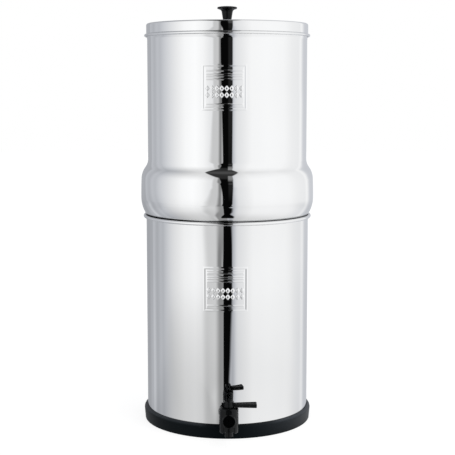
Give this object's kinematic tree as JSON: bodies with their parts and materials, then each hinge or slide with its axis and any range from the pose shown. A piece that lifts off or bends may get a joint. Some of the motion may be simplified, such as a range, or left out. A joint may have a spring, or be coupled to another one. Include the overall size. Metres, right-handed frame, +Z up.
{
  "type": "gravity water filter with tap",
  "caption": "Two stacked round steel chambers with a bulged joint, a lid with a black knob, candle filters inside, a rubber base ring and a black lever tap.",
  "frame": {"origin": "on the axis of the chambers, at the height of the table that the base ring stands on", "axes": "+Z is up along the axis of the chambers, -Y points to the front where the tap is, +X is the viewer's right and the way the closed lever points"},
  "size_m": [0.2558, 0.3069, 0.6143],
  "materials": {
    "polished_steel": "mirror-polished stainless steel",
    "screw_steel": "plain stainless steel",
    "black_plastic": "satin moulded plastic",
    "grey_plastic": "smooth moulded plastic",
    "white_plastic": "satin moulded plastic",
    "ceramic": "unglazed ceramic",
    "carbon": "pressed carbon block",
    "rubber": "matt black rubber"
  },
  "bodies": {
    "base": {"base_ring": "rubber", "lower_chamber": "polished_steel", "tap_body": "black_plastic", "tap_front_plug": "black_plastic", "tap_bonnet": "black_plastic", "tap_outer_washer": "rubber", "tap_inner_washer": "rubber", "tap_nut": "black_plastic"},
    "tap_valve": {"tap_plug": "grey_plastic", "tap_orings": "rubber", "tap_lever": "black_plastic"},
    "upper": {"upper_chamber": "polished_steel", "left_filter_shell": "ceramic", "left_filter_core": "carbon", "left_filter_foot": "white_plastic", "right_filter_shell": "ceramic", "right_filter_core": "carbon", "right_filter_foot": "white_plastic", "filter_washers": "rubber", "filter_wing_nuts": "white_plastic", "blanking_plugs": "white_plastic", "plug_washers": "rubber", "plug_wing_nuts": "white_plastic"},
    "lid": {"lid": "polished_steel", "lid_knob": "black_plastic", "knob_screw": "screw_steel", "knob_washer": "screw_steel"}
  },
  "joints": [
    {"name": "tap_turn", "type": "hinge", "parent": "base", "child": "tap_valve", "pos_m": [0, -0.1654, 0.0394], "axis": [0, 0, 1], "range_deg": [-90, 0]},
    {"name": "upper_lift", "type": "slide", "parent": "base", "child": "upper", "axis": [0, 0, 1], "range_m": [0, 0.12]},
    {"name": "lid_lift", "type": "slide", "parent": "upper", "child": "lid", "axis": [0, 0, 1], "range_m": [0, 0.1]}
  ]
}
